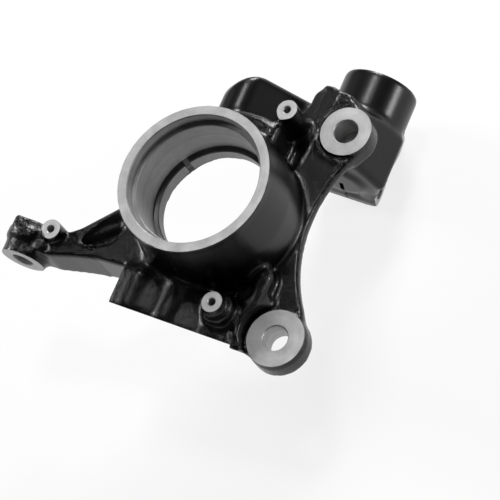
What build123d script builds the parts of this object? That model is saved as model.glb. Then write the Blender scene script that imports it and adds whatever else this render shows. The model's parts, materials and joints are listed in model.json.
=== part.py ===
"""Steering knuckle: one iron casting with machined seats, in millimetres.

Z is the axis of the wheel bearing's bore, and +Z points out to the wheel. Y is the
direction of the strut, and +X points to the brake caliper. The origin is on the bore's
axis. Depths are read from the hub's end face inwards, along -Z.
"""
import os
from math import atan, cos, degrees, radians, sin

from build123d import *

# ---- bearing bore, read from the wheel side inwards
hub_face_z = 30.0          # machined end face of the hub
mouth_d = 90.6             # counterbore at the mouth
mouth_depth = 8.8
seat_d = 85.0              # bearing seat
seat_length = 29.2
ring_groove_d = 88.6       # groove of the snap ring
ring_groove_w = 2.6
lip_d = 79.0               # shoulder that the bearing stops on
lip_w = 9.0
back_relief_d = 92.0       # open recess on the inboard side
edge_break = 0.8           # chamfer on machined edges
puller_slot_w = 6.0        # access slot across the lip, at the snap ring's gap
puller_slot_depth = 5.5
puller_slot_angle = 118.0

# ---- hub body
hub_length = 58.0
rim_d = 104.0
rim_w = 5.0
hub_body_d = 108.0
hub_flare_length = 30.0
shoulder_d = 112.0         # thick shoulder over the top of the hub
shoulder_place = (-1.0, 12.0)
shoulder_depth = 32.0
shoulder_length = 30.0
shoulder_round = 6.0
shoulder_edge_x = 24.0     # where it ends towards the caliper

# ---- caliper plate
caliper_pitch = 150.0
caliper_offset = 63.0      # from the bore's axis to the line of the two holes
caliper_tilt = 4.7         # degrees, of that line against Y
caliper_depth = 60.0
caliper_hole_d = 17.0
ear_d = 41.0
ear_clear = 1.5            # cleared round the ears' faces by the cutter
ear_thickness = 16.0
ear_rim_r = 18.0           # plate edge beside the upper ear, between three angles
ear_rim_angles = (52.0, 8.0, -36.0)
plate_step = 2.0           # from the caliper faces down to the plate
plate_thickness = 8.0
plate_edge_r = 1.2
plate_waist = (58.0, 12.0)
plate_low_rim = ((10, 24), (19.5, 2), (-19.5, 3), (-32, 24), (-63, 30))     # from the lower hole
plate_top_rim = ((-63, -35), (-46, -6), (-34.5, 17), (-33, 27), (-28.5, 31), (-25, 33.5),
                 (-20, 32.5), (-9.6, 29.2))                                 # from the upper hole
ridge_place = (48.0, 104.0)     # top end of the plate's ridge
ridge_turn = 10.5          # degrees, of the ridge against the plate
ridge_slope = 9.0          # degrees, by which the strip beside it falls away
strip_width = 40.0
strip_length = 76.0

# ---- strut clamp
strut_x = 39.1
strut_depth = 118.0        # from the hub face to the strut's axis
strut_bore_d = 42.0
strut_wall = 5.5
clamp_bottom_y = 68.5
clamp_length = 72.7
clamp_turn = 12.0          # degrees, of the pinch bolts against X
slot_w = 3.0
bolt_reach = 27.0          # from the strut's axis to the bolts
ears_reach = 37.0
ears_width = 39.4
ears_height = 56.0
ears_round = 5.0
bolt_boss_d = 20.0
bolt_boss_rise = 1.6
bolt_hole_d = 10.5
bolt_first = 9.5           # lower bolt above the clamp's end
bolt_spacing = 35.5
strut_stop_h = 6.0         # floor under the strut, with a drain by the slot
drain_d = 13.0
drain_place = (6.0, 19.0)

# ---- strut tower between the hub and the clamp, and the flank behind the upper ear
tower_foot_x = -23.6
tower_foot_depth = 62.2
tower_thickness = 30.0
tower_base_y = 42.0
tower_top_y = 103.0
tower_cut_w = 12.0         # corner taken off its outer end: along the tower, and down
tower_cut_h = 13.0
tower_round = 6.0
shaft_gap_y = 66.0         # underside of the tower, over the drive shaft
shaft_gap_run = 30.0
shaft_gap_step = 4.0
flank_inner_x = 30.0
flank_front_x = 49.0
flank_tip = ((30.9, 3.0), (19.0, 15.5))     # from the strut's axis
flank_top_y = 108.0

# ---- ball joint block
joint_face_y = -84.0       # machined underside
joint_top_y = -36.0        # inside the hub
lobe_top_y = -56.0
joint_left_x = -42.0
joint_width = 97.0
joint_front_depth = 36.0   # block's front, at its left end
joint_turn = 11.5          # degrees, of the block's front against X
joint_face_tilt = 15.0     # degrees, by which the underside rises inboard
joint_length = 44.0
lobe_round = 2.5
joint_step = 7.0           # from the block's sides to the web over it
lobe_r = 12.0
lobe_places = (12.0, 39.0, 70.0)
lobe_proud = 2.5
joint_bolt_d = 10.5
joint_bolt_depth = 22.0
side_lobe_x = 47.0
side_lobe_r = 10.0
side_lobe_top_y = -46.0

# ---- tie rod eye and steering arm
eye_x = -127.6
eye_depth = 55.0
eye_face_y = -67.5
eye_d = 31.0
eye_height = 25.5
eye_band_w = 7.0
eye_band_rise = 2.0
eye_band_at = 11.5
eye_head_w = 28.6          # squared head over the band
eye_head_h = 7.5
eye_head_round = 3.0
eye_head_turn = 20.0
eye_hole_d = 15.0
eye_taper = 10.0           # the hole narrows by one in this
arm_front_depth = 42.0
arm_width = 33.0
arm_tip_width = 24.0
arm_round = 2.5
arm_knee_x = -70.0
arm_top = ((-20, -60), (-30, -15), (-58, -8), (-77, -27), (-88, -38), (-97, -44))
arm_tip = ((13.6, -42), (9.6, -63), (23.6, -63))     # x from the eye's axis
arm_low = ((-86, -59), (-68, -56), (-45, -56))
pocket_rim = ((-83, -48), (-79, -36), (-68, -27), (-60, -24), (-57, -33), (-62, -43))
pocket_depth = 6.0
pocket_rib_place = (-72.0, -37.0)
pocket_rib_length = 30.0
pocket_rib_w = 3.0
pocket_rib_turn = 36.0
pocket_rib_h = 4.0

# ---- bosses for the dust shield
shield_depth = 34.0
shield_boss_d = 14.4
shield_hole_d = 5.0
shield_hole_depth = 15.0
shield_boss_length = 30.0
shield_top_place = (24.0, 74.7)
shield_low_place = (30.3, -65.6)
shield_far_place = (-104.0, -47.5)
shield_collar_d = 22.0     # step round the low boss
shield_collar_step = 7.0

# ---- cast discs left on the skin
cast_disc_d = 11.5
cast_disc_h = 14.0
cast_disc_places = ((37.5, -47.5, -20.5), (-112.0, -57.0, -11.2))

# ---- places worked out from the sizes above
hub_back_z = hub_face_z - hub_length
mouth_z = hub_face_z - mouth_depth
seat_end_z = mouth_z - seat_length
groove_end_z = seat_end_z - ring_groove_w
lip_end_z = groove_end_z - lip_w
caliper_z = hub_face_z - caliper_depth
plate_front_z = caliper_z - plate_step
plate_back_z = plate_front_z - plate_thickness
strut_z = hub_face_z - strut_depth
strut_r = strut_bore_d / 2 + strut_wall
tower_foot_z = hub_face_z - tower_foot_depth
joint_front_z = hub_face_z - joint_front_depth
eye_z = hub_face_z - eye_depth
arm_front_z = hub_face_z - arm_front_depth
shield_z = hub_face_z - shield_depth
upper_x = lower_x = caliper_offset
upper_y = caliper_pitch / 2
lower_y = -upper_y


def caliper_plane(z):
    """Plane square to the bore, turned so that the caliper holes stand along its y."""
    a = radians(caliper_tilt)
    return Plane(origin=(0, 0, z), x_dir=(cos(a), sin(a), 0), z_dir=(0, 0, 1))


def level(y, x=0.0, z=0.0, turn=0.0):
    """Plane square to the strut: its x is X, turned inboard, and its own y runs inboard."""
    a = radians(turn)
    return Plane(origin=(x, y, z), x_dir=(cos(a), 0, -sin(a)), z_dir=(0, 1, 0))


# ---- hub: turned body with a thick shoulder over its top
with BuildPart() as hub_body:
    with BuildSketch(Plane.XZ):
        with BuildLine():
            Polyline((hub_body_d / 2, hub_back_z), (0, hub_back_z), (0, hub_face_z),
                     (rim_d / 2, hub_face_z))
            Polyline((rim_d / 2, hub_face_z), (rim_d / 2, hub_face_z - rim_w),
                     (hub_body_d / 2, hub_face_z - rim_w - hub_flare_length), (hub_body_d / 2, hub_back_z))
        make_face()
    revolve(axis=Axis.Z)

with BuildPart() as hub_shoulder:
    with BuildSketch(Plane.XY.offset(hub_face_z - shoulder_depth)):
        with Locations(shoulder_place):
            Circle(shoulder_d / 2)
        with Locations((shoulder_edge_x, 0)):
            Rectangle(shoulder_d, shoulder_d, align=(Align.MAX, Align.MIN), mode=Mode.INTERSECT)
    extrude(amount=-shoulder_length)
    fillet(hub_shoulder.edges().group_by(Axis.Z)[-1], shoulder_round)

# ---- caliper plate: one outline, a sloped strip along its inner edge and two machined ears
with BuildPart() as caliper_plate:
    with BuildSketch(caliper_plane(plate_front_z)) as plate_outline:
        with BuildLine():
            rim_from, rim_mid, rim_to = [
                (upper_x + ear_rim_r * cos(radians(a)), upper_y + ear_rim_r * sin(radians(a)))
                for a in ear_rim_angles]
            low_rim = [(lower_x + x, lower_y + y) for x, y in plate_low_rim]
            ThreePointArc(rim_from, rim_mid, rim_to)
            ThreePointArc(rim_to, plate_waist, low_rim[0])
            Polyline(*low_rim, *[(upper_x + x, upper_y + y) for x, y in plate_top_rim], rim_from)
        make_face()
    extrude(amount=-plate_thickness)
    fillet(caliper_plate.faces().sort_by(Axis.Z)[-1].outer_wire().edges(), plate_edge_r)
    ridge = caliper_plane(plate_front_z).location * Location(ridge_place, (0, 0, -ridge_turn))
    with BuildSketch(Plane(ridge * Location((0, 0, 0), (0, -ridge_slope, 0)))):
        Rectangle(strip_width, strip_length, align=(Align.MAX, Align.MAX))
    extrude(amount=strip_width, mode=Mode.SUBTRACT)
    with BuildSketch(caliper_plane(caliper_z)):
        with Locations((upper_x, upper_y)):
            Circle(ear_d / 2)
        add(plate_outline.sketch_local, mode=Mode.INTERSECT)
        with Locations((lower_x, lower_y)):
            Circle(ear_d / 2)
    extrude(amount=-ear_thickness)

# ---- strut tower: a thick wall from the hub's top inboard to the clamp
with BuildPart() as strut_tower:
    with BuildSketch(level(tower_base_y)):
        SlotCenterPoint(((tower_foot_x + strut_x) / 2, -(tower_foot_z + strut_z) / 2),
                        (strut_x, -strut_z), tower_thickness)
    extrude(amount=tower_top_y - tower_base_y)
    tower_run = Vector(strut_x - tower_foot_x, 0, strut_z - tower_foot_z).normalized()
    tower_end = Vector(tower_foot_x, tower_top_y, tower_foot_z) - tower_run * (tower_thickness / 2)
    with BuildSketch(Plane(tower_end, x_dir=tower_run, z_dir=tower_run.cross(Vector(0, 1, 0)))):
        with BuildLine():
            Polyline((-tower_cut_w, -2 * tower_cut_h), (tower_cut_w, 0), (tower_cut_w, tower_cut_h),
                     (-tower_cut_w, tower_cut_h), (-tower_cut_w, -2 * tower_cut_h))
        make_face()
    extrude(amount=tower_thickness, both=True, mode=Mode.SUBTRACT)
    fillet(strut_tower.edges().filter_by_position(Axis.Y, tower_top_y - tower_cut_h, tower_top_y + 1),
           tower_round)
    with BuildSketch(level(clamp_bottom_y)):
        with BuildLine():
            Polyline((flank_inner_x, -plate_front_z), (flank_front_x, -plate_front_z),
                     *[(strut_x + x, y - strut_z) for x, y in flank_tip], (strut_x, -strut_z),
                     (flank_inner_x, -plate_front_z))
        make_face()
    extrude(amount=flank_top_y - clamp_bottom_y)
    with BuildSketch(Plane.YZ.offset(tower_foot_x - tower_thickness)):
        with BuildLine():
            Polyline((0, hub_back_z - shaft_gap_step), (tower_base_y, hub_back_z - shaft_gap_step),
                     (shaft_gap_y, hub_back_z - shaft_gap_run), (shaft_gap_y, strut_z - 2 * strut_r),
                     (0, strut_z - 2 * strut_r), (0, hub_back_z - shaft_gap_step))
        make_face()
    extrude(amount=strut_x - tower_foot_x + 2 * tower_thickness, mode=Mode.SUBTRACT)

# ---- strut clamp: sleeve with two ears at its back
with BuildPart() as strut_clamp:
    with BuildSketch(level(clamp_bottom_y, strut_x, strut_z, clamp_turn)):
        Rectangle(ears_width, ears_reach, align=(Align.CENTER, Align.MIN))
    extrude(amount=ears_height)
    fillet(strut_clamp.edges().filter_by(Axis.Y).group_by(Axis.Z)[0], ears_round)
    with BuildSketch(level(clamp_bottom_y, strut_x, strut_z, clamp_turn)):
        Circle(strut_r)
    extrude(amount=clamp_length)
    bolt_plane = Plane(origin=level(clamp_bottom_y, strut_x, strut_z, clamp_turn).from_local_coords(
        (0, bolt_reach, bolt_first)), x_dir=(0, 1, 0),
        z_dir=(cos(radians(clamp_turn)), 0, -sin(radians(clamp_turn))))
    with BuildSketch(bolt_plane) as bolt_bosses:
        with Locations((0, 0), (bolt_spacing, 0)):
            Circle(bolt_boss_d / 2)
    extrude(amount=ears_width / 2 + bolt_boss_rise, both=True)

# ---- ball joint block: scalloped front, and an underside that rises inboard
joint_front = level(joint_face_y, joint_left_x, joint_front_z, joint_turn)
joint_face = Plane(origin=joint_front.origin, x_dir=joint_front.x_dir,
                   z_dir=joint_front.z_dir.rotate(Axis(joint_front.origin, joint_front.x_dir),
                                                  180 + joint_face_tilt))
with BuildPart() as joint_block:
    with BuildSketch(joint_front.offset(-lobe_r)):
        Rectangle(joint_width, joint_length, align=(Align.MIN, Align.MIN))
        with Locations(*[(x, lobe_r - lobe_proud) for x in lobe_places]):
            Circle(lobe_r)
    extrude(amount=lobe_top_y - joint_face_y + lobe_r)
    fillet(joint_block.faces().sort_by(Axis.Y)[-1].edges(), lobe_round)
    with BuildSketch(joint_front):
        with Locations((joint_step, joint_step)):
            Rectangle(joint_width - 2 * joint_step, joint_length - 2 * joint_step,
                      align=(Align.MIN, Align.MIN))
    extrude(amount=joint_top_y - joint_face_y)
    with BuildSketch(level(joint_face_y - lobe_r, side_lobe_x, plate_front_z)):
        Circle(side_lobe_r)
    extrude(amount=side_lobe_top_y - joint_face_y + lobe_r)
    with BuildSketch(joint_face):
        Rectangle(3 * joint_width, 3 * joint_length)
    extrude(amount=joint_length, mode=Mode.SUBTRACT)

# ---- steering arm: its side view, cut to its plan view, with the eye at its end
with BuildPart() as steering_arm:
    with BuildSketch(Plane.XY.offset(arm_front_z)):
        with BuildLine():
            Polyline(*arm_top, *[(eye_x + x, y) for x, y in arm_tip], *arm_low, arm_top[0])
        make_face()
    extrude(amount=-arm_width)
    with BuildSketch(level(2 * eye_face_y)):
        with BuildLine():
            Polyline((0, -arm_front_z), (eye_x, -arm_front_z), (eye_x, arm_tip_width - arm_front_z),
                     (arm_knee_x, arm_width - arm_front_z), (0, arm_width - arm_front_z),
                     (0, -arm_front_z))
        make_face()
    extrude(amount=-3 * eye_face_y, mode=Mode.INTERSECT)
    fillet(steering_arm.faces().sort_by(Axis.Z)[-1].edges(), arm_round)
    with BuildSketch(Plane.XY.offset(arm_front_z)):
        with BuildLine():
            Spline(*pocket_rim, periodic=True)
        make_face()
    extrude(amount=-pocket_depth, mode=Mode.SUBTRACT)
    with BuildSketch(Plane.XY.offset(arm_front_z - pocket_depth)):
        with Locations(Location(pocket_rib_place, pocket_rib_turn)):
            Rectangle(pocket_rib_length, pocket_rib_w)
    extrude(amount=pocket_rib_h)
    with BuildSketch(level(eye_face_y)):
        with Locations((eye_x, -eye_z)):
            Circle(eye_d / 2)
    extrude(amount=eye_height)
    with BuildSketch(level(eye_face_y + eye_band_at)):
        with Locations((eye_x, -eye_z)):
            Circle(eye_d / 2 + eye_band_rise)
    extrude(amount=eye_band_w)
    with BuildSketch(level(eye_face_y + eye_height, eye_x, eye_z, eye_head_turn)):
        RectangleRounded(eye_head_w, eye_head_w, eye_head_round)
    extrude(amount=-eye_head_h)

# ---- the casting: its bodies joined, then the machined bores, faces and holes
with BuildPart() as steering_knuckle:
    add(hub_body.part)
    add(hub_shoulder.part)
    add(caliper_plate.part)
    add(strut_tower.part)
    add(strut_clamp.part)
    add(joint_block.part)
    add(steering_arm.part)
    with BuildSketch(Plane.XY.offset(shield_z)):
        with Locations(shield_top_place, shield_low_place, shield_far_place):
            Circle(shield_boss_d / 2)
    extrude(amount=-shield_boss_length)
    with BuildSketch(Plane.XY.offset(shield_z - shield_collar_step)):
        with Locations(shield_low_place):
            Circle(shield_collar_d / 2)
    extrude(amount=shield_collar_step - shield_boss_length)
    with Locations(*cast_disc_places):
        Cylinder(cast_disc_d / 2, cast_disc_h, align=(Align.CENTER, Align.CENTER, Align.MAX))

    with BuildSketch(caliper_plane(caliper_z)):
        with Locations((upper_x, upper_y), (lower_x, lower_y)):
            Circle(ear_d / 2 + ear_clear)
    extrude(amount=ear_thickness, mode=Mode.SUBTRACT)
    with BuildSketch(Plane.XZ):
        with BuildLine():
            Polyline((0, hub_face_z), (mouth_d / 2 + edge_break, hub_face_z),
                     (mouth_d / 2, hub_face_z - edge_break), (mouth_d / 2, mouth_z),
                     (seat_d / 2, mouth_z), (seat_d / 2, seat_end_z), (ring_groove_d / 2, seat_end_z),
                     (ring_groove_d / 2, groove_end_z), (lip_d / 2, groove_end_z), (lip_d / 2, lip_end_z),
                     (back_relief_d / 2, lip_end_z), (back_relief_d / 2, strut_z), (0, strut_z),
                     (0, hub_face_z))
        make_face()
    revolve(axis=Axis.Z, mode=Mode.SUBTRACT)
    with BuildSketch(Plane.XY.offset(seat_end_z)):
        with PolarLocations(lip_d / 2, 1, start_angle=puller_slot_angle):
            Rectangle(2 * puller_slot_depth, puller_slot_w)
    extrude(amount=lip_end_z - seat_end_z, mode=Mode.SUBTRACT)
    with BuildSketch(level(clamp_bottom_y + strut_stop_h, strut_x, strut_z, clamp_turn)):
        Circle(strut_bore_d / 2)
    extrude(amount=clamp_length, mode=Mode.SUBTRACT)
    with BuildSketch(level(clamp_bottom_y, strut_x, strut_z, clamp_turn)):
        with Locations(drain_place):
            Circle(drain_d / 2)
        Rectangle(slot_w, ears_reach * 2, align=(Align.CENTER, Align.MIN))
    extrude(amount=clamp_length, mode=Mode.SUBTRACT)
    with BuildSketch(bolt_plane):
        with Locations((0, 0), (bolt_spacing, 0)):
            Circle(bolt_hole_d / 2)
    extrude(amount=ears_width, both=True, mode=Mode.SUBTRACT)
    with BuildSketch(caliper_plane(caliper_z)):
        with Locations((upper_x, upper_y), (lower_x, lower_y)):
            Circle(caliper_hole_d / 2)
    extrude(amount=-ear_thickness, mode=Mode.SUBTRACT)
    with BuildSketch(joint_face):
        with Locations(*[(x, -lobe_r) for x in lobe_places]):
            Circle(joint_bolt_d / 2)
    extrude(amount=-joint_bolt_depth, mode=Mode.SUBTRACT)
    with BuildSketch(level(eye_face_y)):
        with Locations((eye_x, -eye_z)):
            Circle(eye_hole_d / 2)
    extrude(amount=eye_height, taper=degrees(atan(0.5 / eye_taper)), mode=Mode.SUBTRACT)
    with BuildSketch(Plane.XY.offset(shield_z)):
        with Locations(shield_top_place, shield_low_place, shield_far_place):
            Circle(shield_hole_d / 2)
    extrude(amount=-shield_hole_depth, mode=Mode.SUBTRACT)

steering_knuckle.part.label = "steering_knuckle"
os.makedirs("parts", exist_ok=True)
export_step(steering_knuckle.part, "parts/steering_knuckle.step")
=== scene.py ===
"""Dressed steering knuckle: a sand casting under a black coat, bare where it was machined.

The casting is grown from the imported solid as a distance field. Its inner corners fill
to a rolling fillet and its outer edges round over, as they do in a mould. Then every
machined bore, face and slot is cut crisp, on the axes of the frame's mounts.
"""

import json
import math

import bpy
import numpy as np
import openvdb
from mathutils import Matrix, Vector


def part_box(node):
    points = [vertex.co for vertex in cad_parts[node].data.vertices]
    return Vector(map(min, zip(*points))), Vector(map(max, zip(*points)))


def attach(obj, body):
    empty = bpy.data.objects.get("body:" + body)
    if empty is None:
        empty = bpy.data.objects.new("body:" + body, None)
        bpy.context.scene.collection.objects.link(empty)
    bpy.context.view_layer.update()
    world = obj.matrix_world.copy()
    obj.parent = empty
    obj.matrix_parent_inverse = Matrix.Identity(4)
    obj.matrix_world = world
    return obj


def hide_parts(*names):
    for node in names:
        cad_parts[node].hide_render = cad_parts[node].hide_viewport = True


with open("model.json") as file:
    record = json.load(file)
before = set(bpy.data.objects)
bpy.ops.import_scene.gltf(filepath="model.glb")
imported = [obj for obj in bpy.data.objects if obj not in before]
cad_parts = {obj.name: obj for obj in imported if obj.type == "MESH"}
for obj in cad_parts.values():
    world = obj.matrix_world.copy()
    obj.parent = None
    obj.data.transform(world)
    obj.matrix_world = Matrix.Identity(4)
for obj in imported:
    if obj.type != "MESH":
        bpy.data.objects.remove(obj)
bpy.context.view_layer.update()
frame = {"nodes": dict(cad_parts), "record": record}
MM = 0.001

# ---- the distance field, in millimetres
VOXEL = 1.15                     # step of the lattice
MARGIN = 12                      # steps of empty lattice round the part, and the distance out there
NARROW_BAND = 3                  # steps of distance known past what a rolling ball needs
ROD_SPARE = 6.0                  # lattice looked at past a round bar,
BEAD_SPARE = 3.0                 # past a bead,
RING_SPARE = 10.0                # and past a ring that is cut out

# ---- corners of the casting
FILLET_R, ROUND_R = 2.4, 1.2                     # inner corners, and outer edges
SOFT_FILLET_R, SOFT_ROUND_R = 7.0, 3.5           # the same where the casting is softer
# The strut's tower is softer above the first heights, and either left of the second
# places or below the third ones. Each pair is where the change starts and ends.
SOFT_FROM_Y, SOFT_FROM_X, SOFT_FROM_Z = (56.0, 68.0), (14.0, 4.0), (-40.0, -52.0)
# The top of the joint block's lobes is softer too, by a share.
LOBES_FROM_Y, LOBES_FROM_Z = (-40.0, -48.0), (-34.0, -26.0)
LOBES_RIGHT_X, LOBES_LEFT_X = (6.0, -1.0), (-47.0, -40.0)
LOBES_SHARE = 0.7

# ---- what the machine shop takes off
STOCK = 2.0                      # left on each machined face, to be cut away
STOCK_SPARE = 1.0                # of the stock round its face, and of its bar past both ends
OVERRUN = 2.0                    # of a cutter past the face that it makes
CLEAR = 30.0                     # height that a cutter clears over its face
STRUT_CLEAR = 6.0                # width that the strut's facing cutter clears past the wall
PINCH_CLEAR = 10.0               # depth that the pinch bolts' spot faces clear
EDGE_BREAK = 0.6                 # chamfer at the mouth of a hole
BORE_PLUG, HOLE_PLUG = 2.0, 1.0  # how far a plug goes past the bore or hole that it fills
SIDES, FINE_SIDES, STRUT_SIDES, SMALL_SIDES = 96, 192, 128, 48   # of a turned cutter
SHARP_ANGLE = math.radians(32)   # from which an edge is shaded as an edge

# ---- sizes of the machined faces, which the mounts don't hold
HUB_FACE_Z = 30.0
RIM_D = 104.0
MOUTH_D, MOUTH_DEPTH = 90.6, 8.8
RING_GROOVE_D, RING_GROOVE_W = 88.6, 2.6
LIP_D, LIP_W = 79.0, 9.0
PULLER_SLOT_W, PULLER_SLOT_DEPTH, PULLER_SLOT_ANGLE = 4.0, 5.5, 144.0
EAR_DS = (35.6, 39.4)                            # upper and lower
EAR_STEP_W, EAR_STEP_DEPTH = 2.2, 2.0            # the cast step that stands round each ear
BOSS_D, SHIELD_BOSS_D = 20.0, 14.4
EYE_D, EYE_HEIGHT = 31.0, 25.5
EYE_HOLE_D, EYE_TAPER = 15.0, 10.0               # the hole narrows by one in its taper
STRUT_WALL = 5.5
SLOT_W = 3.0
CLAMP_DEPTH = 37.0                               # from the strut's axis to the back of the ears
JOINT_FACE_R = 70.0                              # reach of the stock on the joint's face
JOINT_FACE_LOW, JOINT_FACE_HIGH = (-52.0, -30.0), (38.0, 50.0)

# ---- cast details: a run of points and the radius of the round bead along them
SIDE_LOBE = (((46.8, -34.6, -25.5), (46.0, -76.0, -27.5)), 7.6)
POCKET_RIM_Z = -12.5
POCKET_RIM = [(x, y, POCKET_RIM_Z) for x, y in (
    (-65.1, -21.0), (-71.5, -26.9), (-76.7, -32.8), (-80.4, -38.3), (-83.6, -44.1), (-83.6, -47.2),
    (-81.8, -49.4), (-78.4, -50.0), (-68.1, -47.1), (-61.4, -43.4), (-57.6, -37.8), (-56.8, -32.9),
    (-57.2, -28.4))]
RIDGE = ((39.5, 107.0, -32.4), (33.5, 49.8, -32.4))
BEADS = ((POCKET_RIM, 1.2), (RIDGE, 1.2))

# ---- the tower's rounded corner, the room under the arm's root, and the cast discs
TOWER_END, TOWER_TOP_Y = (-34.8, -22.2), 103.0   # x and z of the tower's outer end, and its top
TOWER_RUN = (0.746, -0.666)                      # the way in x and z from that end to the clamp
TOWER_CORNER_R = 22.0                            # rounds the corner of end and top
ROOT_CLEAR_R, ROOT_CLEAR_Z, ROOT_CLEAR_X = 50.5, -33.0, -20.0    # round the bore, below, and left
CAST_DISCS = ((37.8, -46.9, -20.5), (-112.0, -57.0, -11.2))      # beside the lobe, and on the arm
DISC_GROOVE = (5.6, 7.0, 1.4)                    # inner and outer radius, and depth, of their rings

# ---- the coat, in metres. It turns from pebbled to smoother on the barrel, inside a
# radius and above a height, on the tower, above a height and behind or left of two
# places, and on the arm's underside, where it faces down and is left of a place.
# The tower and the arm's down-facing underside are also a lighter black; on the underside that is a
# painted sheen of the floor.
BARREL_R, BARREL_Z = (0.0585, 0.0560), (-0.030, -0.024)
TOWER_Y, TOWER_Z, TOWER_X = (0.058, 0.070), (-0.036, -0.046), (0.014, 0.004)
UNDERSIDE_FACING, UNDERSIDE_X = (-0.45, -0.75), (-0.030, -0.045)
WANDER, WANDER_REACH = (45.0, 2.0, 0.5), 0.008   # of those borders
# Each noise is its scale, its detail and its roughness.
GRAIN, GRAIN_STEP = (1250.0, 2.0, 0.6), (0.45, 0.80)
LUMPS, LUMP_HEIGHT = (230.0, 2.0, 0.5), 0.45     # a lump's height beside a grain's
PATCHES = (38.0, 3.0, 0.55)
SMOOTHING = 0.92                                 # share of the grain that a smooth stretch loses
COAT_BUMP = 1.0
# The lighter black comes from random patches, from the tower, and from a painted sheen on the
# down-facing underside.
COAT_DARK, COAT_LIGHT = 0.0003, 0.0036
COAT_ROUGH, PATCH_ROUGH, SMOOTH_ROUGH = 0.15, 0.08, 0.10
COAT_SPECULAR = 0.32
BUMP_DEPTH = 0.00012                             # of the coat and of the bare metal, in metres

# ---- the bare metal
BARE_TONES = (0.30, 0.52)                        # darkest and lightest grey
# Darker greys for the same bare iron inside the bore: painted shade in its recess.
BORE_PAINTED_SHADE_TONES = (0.16, 0.34)
# Near black for the milled slot, which is bare iron: painted shade inside the notch.
PULLER_SLOT_PAINTED_SHADE_TONES = (0.01, 0.03)
RINGS, RING_TONE = (1500.0, 3.0, 0.7), 0.35      # a noise, and its share of the tone
BANDS, BAND_TONE = (260.0, 2.0, 0.5), 0.30
BLOTCHES, BLOTCH_TONE = (110.0, 3.0, 0.6), 0.35
TONE_STEP = (0.25, 0.75)
SPECKS, SPECK_STEP = (900.0, 2.0, 0.5), (0.66, 0.74)
SPECK_SHARE, SPECK_COLOUR = 0.5, (0.16, 0.155, 0.15, 1.0)
BARE_METALLIC = 0.7
BARE_ROUGH, BLOTCH_ROUGH = 0.38, 0.16
BARE_BUMP, BAND_HEIGHT = 0.5, 0.8                # strength, and a band's height beside a ring's

# ---- floor, light and camera, in metres and watts
FLOOR_REACH, FLOOR_GREY, FLOOR_GLOW = 6.0, 0.8, 0.8
WORLD_LEVEL = 0.09
LAMPS = (("back_softbox", (-0.4, 2.5, 1.4), 0.9, 76.0),
         ("back_strip", (-0.6, 2.8, 0.5), 0.6, 26.0),
         ("left_softbox", (-2.2, 0.1, 1.2), 0.8, 34.0),
         ("right_strip", (2.6, 1.0, 0.55), 0.6, 34.0),
         ("top_softbox", (-0.1, 0.95, 2.4), 0.5, 20.0))
CAMERA_AT = (0.6823, -0.4198, 1.1819)
CAMERA_BACK, CAMERA_UP = (0.4567, -0.2807, 0.8442), (-0.2308, 0.8790, 0.4172)
LENS, SENSOR_WIDTH = 158.4, 36.0                 # in millimetres
CLIP_START, CLIP_END = 0.05, 30.0

mounts = {mount["name"]: mount for mount in frame["record"]["mounts"]}


# ------------------------------------------------------------------ places on the frame
class Seat:
    """A mount's axis in millimetres: where it starts, and which way its mate leaves."""

    def __init__(self, name, at=None):
        mount = mounts[name]
        self.name = name
        self.at = Vector(mount["pos_m"]) / MM if at is None else at
        self.axis = Vector(mount["axis"]).normalized()
        self.radius = mount["dims"].get("r_mm", 0.0)
        self.length = mount["dims"].get("length_mm", 0.0)

    def moved(self, at):
        """The same seat, started at another point."""
        return Seat(self.name, at)

    def matrix(self, along=None):
        """Puts the origin at the seat's start and local Z on its axis, and where a
        direction is given, local X along it."""
        if along is None:
            turn = Vector((0, 0, 1)).rotation_difference(self.axis).to_matrix()
        else:
            side = (along - self.axis * along.dot(self.axis)).normalized()
            turn = Matrix((side, self.axis.cross(side), self.axis)).transposed()
        return Matrix.Translation(self.at) @ turn.to_4x4()

    def measure(self, x, y, z):
        """Of points: how far along the axis they are, and how far from it."""
        dx, dy, dz = x - self.at.x, y - self.at.y, z - self.at.z
        along = dx * self.axis.x + dy * self.axis.y + dz * self.axis.z
        across = np.sqrt(np.maximum(dx * dx + dy * dy + dz * dz - along * along, 0))
        return along, across


def centred_bolt(name):
    """A pinch bolt's seat, started where it passes the strut's axis."""
    bolt = Seat(name)
    to_strut = (strut.at - bolt.at).dot(bolt.axis)
    return bolt.moved(bolt.at + bolt.axis * to_strut)


hub = Seat("hub_bore")
strut = Seat("strut_clamp")
joint = Seat("joint_face")
eye = Seat("tie_rod_eye")
ears = [Seat("caliper_upper"), Seat("caliper_lower")]
shields = [Seat(f"shield_{place}") for place in ("top", "low", "far")]
joint_bolts = [Seat(f"joint_bolt_{number}") for number in (1, 2, 3)]
pinch_bolts = [centred_bolt(f"pinch_bolt_{place}") for place in ("lower", "upper")]
hub_end = hub.moved(Vector((0, 0, HUB_FACE_Z)))
strut_end = strut.moved(strut.at + strut.axis * strut.length / 2)

# ---- heights of the bore's steps, from its mouth down
mouth_z = HUB_FACE_Z - MOUTH_DEPTH
seat_end = mouth_z - hub.length
groove_end = seat_end - RING_GROOVE_W
lip_end = groove_end - LIP_W

# ---- each faced seat, and how far round it the stock stands
faced = [(hub_end, RIM_D / 2 + STOCK_SPARE), (strut_end, strut.radius + STRUT_WALL + STOCK_SPARE),
         (joint, JOINT_FACE_R), (eye, EYE_D / 2 + STOCK_SPARE)]
faced += [(ear, ear_d / 2) for ear, ear_d in zip(ears, EAR_DS)]
faced += [(shield, SHIELD_BOSS_D / 2 + STOCK_SPARE) for shield in shields]


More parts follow.
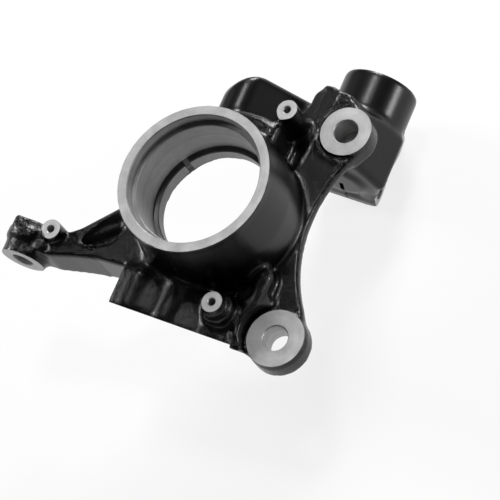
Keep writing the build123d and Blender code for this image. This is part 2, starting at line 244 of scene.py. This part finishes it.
# ------------------------------------------------------------------ the distance field
class Field:
    """Signed distance to a surface on a cubic lattice, in millimetres, negative inside."""

    def __init__(self, values, start):
        self.values = values
        self.start = start

    @classmethod
    def of_mesh(cls, points, triangles, quads, start, shape, reach):
        """Distance to a closed mesh, known within the given reach on both sides."""
        grid = openvdb.FloatGrid.createLevelSetFromPolygons(
            points.astype(np.float32), triangles=triangles, quads=quads,
            transform=openvdb.createLinearTransform(VOXEL), halfWidth=reach / VOXEL + NARROW_BAND)
        values = np.empty(shape, np.float32)
        grid.copyToArray(values, ijk=start)
        return cls(values, start)

    def surface(self, level=0.0):
        """Points, triangles and quads of the surface at a distance from this one."""
        grid = openvdb.FloatGrid()
        grid.transform = openvdb.createLinearTransform(VOXEL)
        grid.background = MARGIN
        grid.copyFromArray(self.values, ijk=self.start)
        return grid.convertToPolygons(level)

    def rolled(self, radius):
        """The surface that a ball leaves as it rolls over this one: outside it where the
        radius is above 0, which fills inner corners, or inside, which rounds edges."""
        points, triangles, quads = self.surface(radius)
        field = Field.of_mesh(points, triangles, quads, self.start, self.values.shape,
                              abs(radius) + SOFT_ROUND_R)
        field.values += radius
        return field

    def window(self, low, high):
        """The part of the lattice between two corners: its slices, and X, Y and Z there."""
        slices, axes = [], []
        for i, count in enumerate(self.values.shape):
            first = max(int(math.floor(low[i] / VOXEL)) - self.start[i], 0)
            last = min(int(math.ceil(high[i] / VOXEL)) - self.start[i] + 1, count)
            slices.append(slice(first, last))
            axes.append((np.arange(first, last, dtype=np.float32) + self.start[i]) * VOXEL)
        return tuple(slices), np.meshgrid(*axes, indexing="ij", sparse=True)

    def window_round(self, points, spare):
        """The part of the lattice round some points, with spare lattice on every side."""
        return self.window([min(values) - spare for values in zip(*points)],
                           [max(values) + spare for values in zip(*points)])

    def add_rod(self, seat, radius, low, high, shift=None):
        """Joins a round bar on the seat's axis, between two heights along it. With a
        shift, it joins only what the part fills of the bar when it is moved that way."""
        ends = [seat.at + seat.axis * height for height in (low, high)]
        slices, place = self.window_round(ends, radius + ROD_SPARE)
        along, across = seat.measure(*place)
        rod = np.maximum(across - radius, np.maximum(low - along, along - high))
        if shift:
            moved = tuple(slice(part.start - step, part.stop - step)
                          for part, step in zip(slices, shift))
            rod = np.maximum(rod, self.values[moved])
        self.values[slices] = np.minimum(self.values[slices], rod)

    def add_bead(self, points, radius):
        """Joins a round bead along a run of points."""
        for start, end in zip(points, points[1:]):
            slices, place = self.window_round((start, end), radius + BEAD_SPARE)
            run = [b - a for a, b in zip(start, end)]
            share = sum((v - a) * r for v, a, r in zip(place, start, run))
            share = np.clip(share / sum(r * r for r in run), 0, 1)
            gap = sum((v - a - share * r) ** 2 for v, a, r in zip(place, start, run))
            self.values[slices] = np.minimum(self.values[slices], np.sqrt(gap) - radius)

    def add_stock(self, seat, radius):
        """Raises a face by the stock, over what stands under it within the radius."""
        steps = round(STOCK / VOXEL)
        main = max(range(3), key=lambda i: abs(seat.axis[i]))
        shift = [0, 0, 0]
        shift[main] = steps if seat.axis[main] > 0 else -steps
        self.add_rod(seat, radius, -STOCK_SPARE, STOCK + STOCK_SPARE, shift)

    def cut_groove(self, seat, inner, outer, down):
        """Takes out a ring round the seat's axis, from a depth below its face upwards."""
        slices, place = self.window_round([seat.at], outer + RING_SPARE)
        along, across = seat.measure(*place)
        ring = np.maximum(np.maximum(inner - across, across - outer), -down - along)
        self.values[slices] = np.maximum(self.values[slices], -ring)

    def keep_within(self, bound):
        """Keeps only what lies within another surface, given over the whole lattice."""
        self.values = np.maximum(self.values, bound)


def eased(values, low, high):
    """0 at low, 1 at high, and a smooth rise between."""
    rise = np.clip((values - low) / (high - low), 0, 1)
    return rise * rise * (3 - 2 * rise)


def node_arrays(name):
    """Points in millimetres and triangles of a CAD node's mesh."""
    mesh = frame["nodes"][name].data
    points = np.empty(len(mesh.vertices) * 3, np.float32)
    mesh.vertices.foreach_get("co", points)
    mesh.calc_loop_triangles()
    triangles = np.empty(len(mesh.loop_triangles) * 3, np.int32)
    mesh.loop_triangles.foreach_get("vertices", triangles)
    return points.reshape(-1, 3) / MM, triangles.reshape(-1, 3).astype(np.uint32)


def packed_field():
    """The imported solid's distance field, and X, Y and Z over its lattice."""
    points, triangles = node_arrays("steering_knuckle")
    low = np.floor(points.min(0) / VOXEL).astype(int) - MARGIN
    high = np.ceil(points.max(0) / VOXEL).astype(int) + MARGIN
    no_quads = np.zeros((0, 4), np.uint32)
    field = Field.of_mesh(points, triangles, no_quads, tuple(int(v) for v in low),
                          tuple(int(v) for v in high - low), SOFT_FILLET_R)
    _, place = field.window(low * VOXEL, high * VOXEL)
    return field, place


def plug_holes(field):
    """Fills every machined hole, because the mould leaves none, and joins the pinch bosses."""
    field.add_rod(hub, MOUTH_D / 2 + BORE_PLUG, lip_end, HUB_FACE_Z)
    field.add_rod(strut, strut.radius + BORE_PLUG, -strut.length / 2, strut.length / 2)
    for hole in ears + shields + joint_bolts:
        field.add_rod(hole, hole.radius + HOLE_PLUG, -hole.length - HOLE_PLUG, 0)
    field.add_rod(eye, EYE_HOLE_D / 2 + HOLE_PLUG, -EYE_HEIGHT, 0)
    for bolt in pinch_bolts:
        field.add_rod(bolt, BOSS_D / 2, -bolt.length / 2 - STOCK, bolt.length / 2 + STOCK)


def clear_arm_root(field, x, y, z):
    """Clears the casting round the bore, under the root of the arm."""
    under = np.maximum(np.hypot(x, y) - ROOT_CLEAR_R, np.maximum(z - ROOT_CLEAR_Z, x - ROOT_CLEAR_X))
    field.keep_within(-under)


def round_tower(field, x, y, z):
    """Rounds the corner of the tower's outer end and its top."""
    along = (x - TOWER_END[0]) * TOWER_RUN[0] + (z - TOWER_END[1]) * TOWER_RUN[1]
    left = np.maximum(TOWER_CORNER_R - along, 0)
    over = np.maximum(y - TOWER_TOP_Y + TOWER_CORNER_R, 0)
    corner = np.hypot(left, over) - TOWER_CORNER_R
    field.keep_within(np.where((left > 0) & (over > 0), corner, -MARGIN))


def softer_share(x, y, z):
    """How far the casting is of the softer kind: 1 on the strut's tower, some on the
    joint block's lobes, and 0 elsewhere."""
    tower = eased(y, *SOFT_FROM_Y) * np.maximum(eased(x, *SOFT_FROM_X), eased(z, *SOFT_FROM_Z))
    lobes = (eased(y, *LOBES_FROM_Y) * eased(z, *LOBES_FROM_Z) * eased(x, *LOBES_RIGHT_X)
             * eased(x, *LOBES_LEFT_X) * LOBES_SHARE)
    return np.maximum(tower, lobes)


def cast_field():
    """The casting as it leaves the mould: no holes, stock on the faces, soft corners."""
    field, place = packed_field()
    plug_holes(field)
    for seat, radius in faced:
        field.add_stock(seat, radius)
    field.add_bead(*SIDE_LOBE)
    clear_arm_root(field, *place)
    round_tower(field, *place)
    soft = field.rolled(SOFT_FILLET_R).rolled(-SOFT_ROUND_R)
    crisp = field.rolled(FILLET_R)
    for ear, ear_d in zip(ears, EAR_DS):
        crisp.cut_groove(ear, ear_d / 2, ear_d / 2 + EAR_STEP_W, EAR_STEP_DEPTH)
    for at in CAST_DISCS:
        crisp.cut_groove(hub.moved(Vector(at)), *DISC_GROOVE)
    crisp = crisp.rolled(-ROUND_R)
    crisp.values += (soft.values - crisp.values) * softer_share(*place)
    for points, radius in BEADS:
        crisp.add_bead(points, radius)
    return crisp


# ------------------------------------------------------------------ meshes
def mesh_object(name, points, faces, material):
    """An object in metres from points in millimetres."""
    mesh = bpy.data.meshes.new(name)
    mesh.from_pydata(np.asarray(points, float) * MM, [], faces)
    mesh.materials.append(material)
    mesh.validate()
    made = bpy.data.objects.new(name, mesh)
    bpy.context.scene.collection.objects.link(made)
    return made


def turned_cutter(name, seat, profile, material, sides):
    """A solid of revolution on a seat's axis, from (radius, height) points up its side."""
    rings, points, faces = [], [], []
    for radius, height in profile:
        if radius == 0:
            rings.append([len(points)] * sides)
            points.append(Vector((0, 0, height)))
            continue
        rings.append(list(range(len(points), len(points) + sides)))
        for step in range(sides):
            turn = math.tau * step / sides
            points.append(Vector((radius * math.cos(turn), radius * math.sin(turn), height)))
    for below, above in zip(rings, rings[1:]):
        for step in range(sides):
            following = (step + 1) % sides
            corners = [below[step], below[following], above[following], above[step]]
            faces.append(list(dict.fromkeys(corners)))
    place = seat.matrix()
    return mesh_object(name, [place @ point for point in points], faces, material)


def block_cutter(name, place, low, high, material):
    """A box between two corners of a local frame."""
    corners = [(x, y, z) for x in (low[0], high[0]) for y in (low[1], high[1])
               for z in (low[2], high[2])]
    faces = [(0, 1, 3, 2), (4, 6, 7, 5), (0, 4, 5, 1), (2, 3, 7, 6), (0, 2, 6, 4), (1, 5, 7, 3)]
    return mesh_object(name, [place @ Vector(corner) for corner in corners], faces, material)


def cut(piece, cutter):
    """Takes the cutter's space out of a piece. The new faces keep the cutter's material."""
    change = piece.modifiers.new("cut", "BOOLEAN")
    change.operation, change.solver = "DIFFERENCE", "MANIFOLD"
    change.material_mode = "TRANSFER"
    change.object = cutter
    graph = bpy.context.evaluated_depsgraph_get()
    mesh = bpy.data.meshes.new_from_object(piece.evaluated_get(graph))
    piece.modifiers.remove(change)
    old, piece.data = piece.data, mesh
    bpy.data.meshes.remove(old)
    bpy.data.objects.remove(cutter)


# ------------------------------------------------------------------ shader nodes
class Value:
    """A socket that can stand in a sum or a product."""

    def __init__(self, nodes, socket):
        self.nodes, self.socket = nodes, socket

    def _maths(self, operation, *values):
        return self.nodes.add("ShaderNodeMath", {"operation": operation}, *values)

    def __add__(self, other):
        return self._maths("ADD", self, other)

    def __sub__(self, other):
        return self._maths("SUBTRACT", self, other)

    def __rsub__(self, other):
        return self._maths("SUBTRACT", other, self)

    def __mul__(self, other):
        return self._maths("MULTIPLY", self, other)

    def __truediv__(self, other):
        return self._maths("DIVIDE", self, other)

    __radd__ = __add__
    __rmul__ = __mul__

    def larger(self, other):
        return self._maths("MAXIMUM", self, other)

    def smaller(self, other):
        return self._maths("MINIMUM", self, other)

    def root(self):
        return self._maths("SQRT", self)

    def step(self, low, high):
        """0 below low, 1 above high, and a smooth rise between. Low may be the larger."""
        rise = ((self - low) / (high - low)).larger(0).smaller(1)
        return rise * rise * (3 - 2 * rise)


class Nodes:
    """Builds the nodes of one material, or of the world."""

    def __init__(self, owner):
        self.owner = owner
        owner.use_nodes = True
        self.tree = owner.node_tree
        self.tree.nodes.clear()

    def add(self, kind, settings, *values, output=0, **named):
        """A node of a kind, with its settings, and values or links for its sockets."""
        node = self.tree.nodes.new(kind)
        for key, value in settings.items():
            setattr(node, key, value)
        sockets = [(node.inputs[i], value) for i, value in enumerate(values)]
        sockets += [(node.inputs[key.replace("_", " ")], value) for key, value in named.items()]
        for socket, value in sockets:
            if isinstance(value, Value):
                self.tree.links.new(value.socket, socket)
            elif value is not None:
                socket.default_value = value
        return Value(self, node.outputs[output]) if node.outputs else None

    def finish(self, shader, kind="ShaderNodeOutputMaterial"):
        self.add(kind, {}, Surface=shader)
        return self.owner

    def surface(self, output):
        """Object is the point in metres in the part's frame, and Normal the way it faces."""
        return self.add("ShaderNodeTexCoord", {}, output=output)

    def noise(self, vector, scale, detail, roughness):
        return self.add("ShaderNodeTexNoise", {}, Vector=vector, Scale=scale, Detail=detail,
                        Roughness=roughness)

    def bump(self, height, strength):
        return self.add("ShaderNodeBump", {}, Strength=strength, Distance=BUMP_DEPTH, Height=height)

    def mix(self, factor, first, second):
        """Blends two colours. The five sockets between are for its other kinds of data."""
        return self.add("ShaderNodeMix", {"data_type": "RGBA"}, factor, *[None] * 5, first, second,
                        output=2)

    def vector(self, operation, *values, output="Vector"):
        return self.add("ShaderNodeVectorMath", {"operation": operation}, *values, output=output)

    def parts(self, vector):
        """X, Y and Z of a vector."""
        split = self.add("ShaderNodeSeparateXYZ", {}, vector)
        return [Value(self, socket) for socket in split.socket.node.outputs]


def grey(level):
    return (level, level, level, 1.0)


def coat_material():
    """Black coat over the casting's skin. Sand leaves it pebbled on the plate, the block
    and the arm's front. The hub, the tower and the arm's underside are smoother. Random
    patches, the tower and the down-facing underside are a lighter black; on the underside that is a
    painted sheen."""
    nodes = Nodes(bpy.data.materials.new("black_coat"))
    place = nodes.surface("Object")
    x, y, z = nodes.parts(place)
    facing = nodes.parts(nodes.surface("Normal"))
    wander = nodes.noise(place, *WANDER) * WANDER_REACH
    outward = (x * x + y * y).root()
    barrel = outward.step(*BARREL_R) * (z + wander).step(*BARREL_Z)
    tower_side = z.step(*TOWER_Z).larger((x + wander).step(*TOWER_X))
    tower = (y + wander).step(*TOWER_Y) * tower_side
    underside = facing[1].step(*UNDERSIDE_FACING) * x.step(*UNDERSIDE_X)
    smooth = barrel.larger(tower).larger(underside)
    grain = nodes.noise(place, *GRAIN).step(*GRAIN_STEP)
    lumps = nodes.noise(place, *LUMPS)
    patches = nodes.noise(place, *PATCHES)
    height = (grain + lumps * LUMP_HEIGHT) * (1 - smooth * SMOOTHING)
    # Random patches and the tower lighten the black; the down-facing underside is lightened as a
    # painted sheen.
    lighter_tone_and_painted_sheen = (patches + tower.larger(underside)) / 2
    shader = nodes.add("ShaderNodeBsdfPrincipled", {},
                       Base_Color=nodes.mix(lighter_tone_and_painted_sheen, grey(COAT_DARK), grey(COAT_LIGHT)),
                       Roughness=COAT_ROUGH + PATCH_ROUGH * patches + SMOOTH_ROUGH * smooth,
                       Normal=nodes.bump(height, COAT_BUMP), Specular_IOR_Level=COAT_SPECULAR)
    return nodes.finish(shader)


def machined_material(name, seat, dark, light):
    """Bare iron, with the fine rings that a turning or milling tool leaves round its axis."""
    nodes = Nodes(bpy.data.materials.new("machined_" + name))
    place = nodes.surface("Object")
    offset = nodes.vector("SUBTRACT", place, tuple(seat.at * MM))
    along = nodes.vector("DOT_PRODUCT", offset, tuple(seat.axis), output="Value")
    reach = nodes.vector("LENGTH", offset, output="Value")
    across = (reach * reach - along * along).larger(0).root()
    rings_at = nodes.add("ShaderNodeCombineXYZ", {}, across, along)
    rings = nodes.noise(rings_at, *RINGS)
    bands = nodes.noise(rings_at, *BANDS)
    blotches = nodes.noise(place, *BLOTCHES)
    specks = nodes.noise(place, *SPECKS).step(*SPECK_STEP)
    tone = rings * RING_TONE + bands * BAND_TONE + blotches * BLOTCH_TONE
    colour = nodes.mix(tone.step(*TONE_STEP), grey(dark), grey(light))
    shader = nodes.add("ShaderNodeBsdfPrincipled", {},
                       Base_Color=nodes.mix(specks * SPECK_SHARE, colour, SPECK_COLOUR),
                       Roughness=BARE_ROUGH + BLOTCH_ROUGH * blotches, Metallic=BARE_METALLIC,
                       Normal=nodes.bump(rings + bands * BAND_HEIGHT, BARE_BUMP))
    return nodes.finish(shader)


# ------------------------------------------------------------------ the machine shop
def turn_out(piece, name, seat, profile, sides=SIDES, tones=BARE_TONES):
    """Cuts a turned shape on a seat's axis, which leaves bare metal of its own."""
    material = machined_material(name, seat, *tones)
    cut(piece, turned_cutter(name + "_tool", seat, profile, material, sides))


def mill_out(piece, name, seat, place, low, high, tones=BARE_TONES):
    """Cuts a box between two corners of a place, which leaves bare metal of its own."""
    material = machined_material(name, seat, *tones)
    cut(piece, block_cutter(name + "_tool", place, low, high, material))


def bore_profile():
    """The stepped bore: lip, ring groove, bearing seat and mouth, and the end face."""
    lip_r, groove_r, mouth_r = LIP_D / 2, RING_GROOVE_D / 2, MOUTH_D / 2
    return [(0, lip_end - OVERRUN), (lip_r, lip_end - OVERRUN), (lip_r, groove_end - EDGE_BREAK),
            (lip_r + EDGE_BREAK, groove_end), (groove_r, groove_end), (groove_r, seat_end),
            (hub.radius, seat_end), (hub.radius, mouth_z - EDGE_BREAK),
            (hub.radius + EDGE_BREAK, mouth_z), (mouth_r, mouth_z),
            (mouth_r, HUB_FACE_Z - EDGE_BREAK),
            (mouth_r + EDGE_BREAK + STOCK, HUB_FACE_Z + STOCK), (0, HUB_FACE_Z + CLEAR)]


def faced_hole(radius, depth, face_r):
    """A hole and the face round its mouth, which lies at height 0."""
    return [(0, -depth), (radius, -depth), (radius, -EDGE_BREAK), (radius + EDGE_BREAK, 0),
            (face_r, 0), (face_r, CLEAR), (0, CLEAR)]


def drilled_hole(radius, depth):
    """A blind hole with a drill's point."""
    return [(0, -depth - radius / 2), (radius, -depth), (radius, -EDGE_BREAK),
            (radius + EDGE_BREAK + OVERRUN, OVERRUN), (0, OVERRUN)]


def spot_faced_bolt(radius, reach, face_r):
    """A bolt's through hole, and a spot face at each of its ends."""
    past = reach + PINCH_CLEAR
    return [(0, -past), (face_r, -past), (face_r, -reach), (radius, -reach), (radius, reach),
            (face_r, reach), (face_r, past), (0, past)]


def tapered_hole():
    """The steering eye's tapered hole, and its face at height 0."""
    wide = EYE_HOLE_D / 2
    narrow = wide - (EYE_HEIGHT + OVERRUN) / EYE_TAPER / 2
    face_r = EYE_D / 2 + OVERRUN
    return [(0, -EYE_HEIGHT - OVERRUN), (narrow, -EYE_HEIGHT - OVERRUN),
            (wide - EDGE_BREAK / EYE_TAPER, -EDGE_BREAK), (wide + EDGE_BREAK, 0), (face_r, 0),
            (face_r, CLEAR), (0, CLEAR)]


def machine_hub(piece):
    """The stepped bore, the ring face and the puller slot. The bore's darker greys and the slot's
    near black are painted shade.
    """
    # The bore's walls take darker greys than the faces: painted shade inside the bore.
    turn_out(piece, "hub_bore", hub, bore_profile(), FINE_SIDES, BORE_PAINTED_SHADE_TONES)
    face_r = RIM_D / 2 + OVERRUN
    face = [(0, HUB_FACE_Z), (face_r, HUB_FACE_Z), (face_r, HUB_FACE_Z + CLEAR),
            (0, HUB_FACE_Z + CLEAR)]
    turn_out(piece, "hub_face", hub, face, FINE_SIDES)
    turn = math.radians(PULLER_SLOT_ANGLE)
    place = hub.matrix(Vector((math.cos(turn), math.sin(turn), 0)))
    # The slot's near-black greys are painted shade.
    mill_out(piece, "puller_slot", hub, place,
             (LIP_D / 2 - PULLER_SLOT_DEPTH, -PULLER_SLOT_W / 2, lip_end - OVERRUN),
             (LIP_D / 2 + PULLER_SLOT_DEPTH, PULLER_SLOT_W / 2, seat_end), PULLER_SLOT_PAINTED_SHADE_TONES)


def machine_ears(piece):
    """The caliper ears. Each cutter ends over the step that stands round its ear."""
    for name, ear, ear_d in zip(("upper_ear", "lower_ear"), ears, EAR_DS):
        face_r = ear_d / 2 + EAR_STEP_W / 2
        turn_out(piece, name, ear, faced_hole(ear.radius, ear.length + OVERRUN, face_r))


def machine_strut_clamp(piece):
    """The strut's socket, the pinch bolts and the slot between the ears of the clamp."""
    wall_r = strut.radius + STRUT_WALL + STRUT_CLEAR
    turn_out(piece, "strut_socket", strut_end, faced_hole(strut.radius, strut.length, wall_r),
             STRUT_SIDES)
    for name, bolt in zip(("first_pinch", "second_pinch"), pinch_bolts):
        turn_out(piece, name, bolt, spot_faced_bolt(bolt.radius, bolt.length / 2,
                                                    BOSS_D / 2 + OVERRUN))
    first = pinch_bolts[0]
    outward = first.axis.cross(strut.axis)
    if outward.dot(first.at - strut.at) < 0:
        outward.negate()
    place = Matrix((first.axis, outward, strut.axis)).transposed().to_4x4()
    place.translation = strut.at
    past = strut.length / 2 + CLEAR
    mill_out(piece, "clamp_slot", first, place, (-SLOT_W / 2, 0, -past),
             (SLOT_W / 2, CLAMP_DEPTH + CLEAR, past))


def machine_joint(piece):
    """The joint block's tilted face, and the bolt holes square to it."""
    place = joint.matrix(joint_bolts[2].at - joint_bolts[0].at)
    mill_out(piece, "joint_face", joint, place, (*JOINT_FACE_LOW, 0), (*JOINT_FACE_HIGH, CLEAR))
    for number, bolt in enumerate(joint_bolts, 1):
        turn_out(piece, f"joint_bolt_{number}", bolt, drilled_hole(bolt.radius, bolt.length),
                 SMALL_SIDES)


def machine_arm(piece):
    """The steering eye, and then the shield's bosses."""
    turn_out(piece, "tie_rod_eye", eye, tapered_hole())
    for name, shield in zip(("top_boss", "low_boss", "far_boss"), shields):
        profile = faced_hole(shield.radius, shield.length + OVERRUN, SHIELD_BOSS_D / 2 + OVERRUN)
        turn_out(piece, name, shield, profile, SMALL_SIDES)


# ------------------------------------------------------------------ the piece
def casting():
    """The one piece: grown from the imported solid, coated, and then machined."""
    points, triangles, quads = cast_field().surface()
    faces = [list(face) for part in (triangles, quads) for face in part]
    piece = mesh_object("knuckle_casting", points, faces, coat_material())
    machine_hub(piece)
    machine_ears(piece)
    machine_strut_clamp(piece)
    machine_joint(piece)
    machine_arm(piece)
    for face in piece.data.polygons:
        face.use_smooth = True
    piece.data.set_sharp_from_angle(angle=SHARP_ANGLE)
    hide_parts("steering_knuckle")
    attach(piece, "root")


# ------------------------------------------------------------------ floor, light and camera
def floor_material():
    """A pale cloth that takes shadows, and mostly glows where it is seen or mirrored."""
    nodes = Nodes(bpy.data.materials.new("pale_floor"))
    rays = [nodes.add("ShaderNodeLightPath", {}, output=kind) for kind in
            ("Is Camera Ray", "Is Glossy Ray", "Is Transmission Ray")]
    seen = rays[0].larger(rays[1]).larger(rays[2])
    cloth = nodes.add("ShaderNodeBsdfDiffuse", {}, Color=grey(FLOOR_GREY))
    glow = nodes.add("ShaderNodeEmission", {}, Color=grey(1.0), Strength=1.0)
    return nodes.finish(nodes.add("ShaderNodeMixShader", {}, seen * FLOOR_GLOW, cloth, glow))


def stage():
    """A wide floor at the part's lowest point."""
    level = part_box("steering_knuckle")[0].z
    corners = [(-FLOOR_REACH, -FLOOR_REACH), (FLOOR_REACH, -FLOOR_REACH),
               (FLOOR_REACH, FLOOR_REACH), (-FLOOR_REACH, FLOOR_REACH)]
    mesh = bpy.data.meshes.new("floor")
    mesh.from_pydata([(x, y, level) for x, y in corners], [], [(0, 1, 2, 3)])
    mesh.materials.append(floor_material())
    floor = bpy.data.objects.new("floor", mesh)
    bpy.context.scene.collection.objects.link(floor)


def lamp(name, at, size, power):
    """A round lamp that points at the middle of the bore."""
    data = bpy.data.lights.new(name, "AREA")
    data.shape, data.size, data.energy = "DISK", size, power
    made = bpy.data.objects.new(name, data)
    made.location = at
    made.rotation_mode = "QUATERNION"
    made.rotation_quaternion = (-Vector(at)).to_track_quat("-Z", "Y")
    bpy.context.scene.collection.objects.link(made)


def lights():
    """A dim even world, and the lamps."""
    world = bpy.data.worlds.new("studio")
    bpy.context.scene.world = world
    nodes = Nodes(world)
    nodes.finish(nodes.add("ShaderNodeBackground", {}, Color=grey(1.0), Strength=WORLD_LEVEL),
                 "ShaderNodeOutputWorld")
    for lit in LAMPS:
        lamp(*lit)


def camera():
    """Placed by its own axes: back points to the camera, up is the top of its frame."""
    back = Vector(CAMERA_BACK).normalized()
    up = Vector(CAMERA_UP)
    right = up.cross(back).normalized()
    up = back.cross(right)
    data = bpy.data.cameras.new("camera")
    data.lens, data.sensor_width = LENS, SENSOR_WIDTH
    data.clip_start, data.clip_end = CLIP_START, CLIP_END
    made = bpy.data.objects.new("camera", data)
    place = Matrix((right, up, back)).transposed().to_4x4()
    place.translation = Vector(CAMERA_AT)
    made.matrix_world = place
    bpy.context.scene.collection.objects.link(made)
    bpy.context.scene.camera = made


casting()
stage()
lights()
camera()
bpy.context.scene.view_settings.view_transform = "Standard"
bpy.context.view_layer.update()
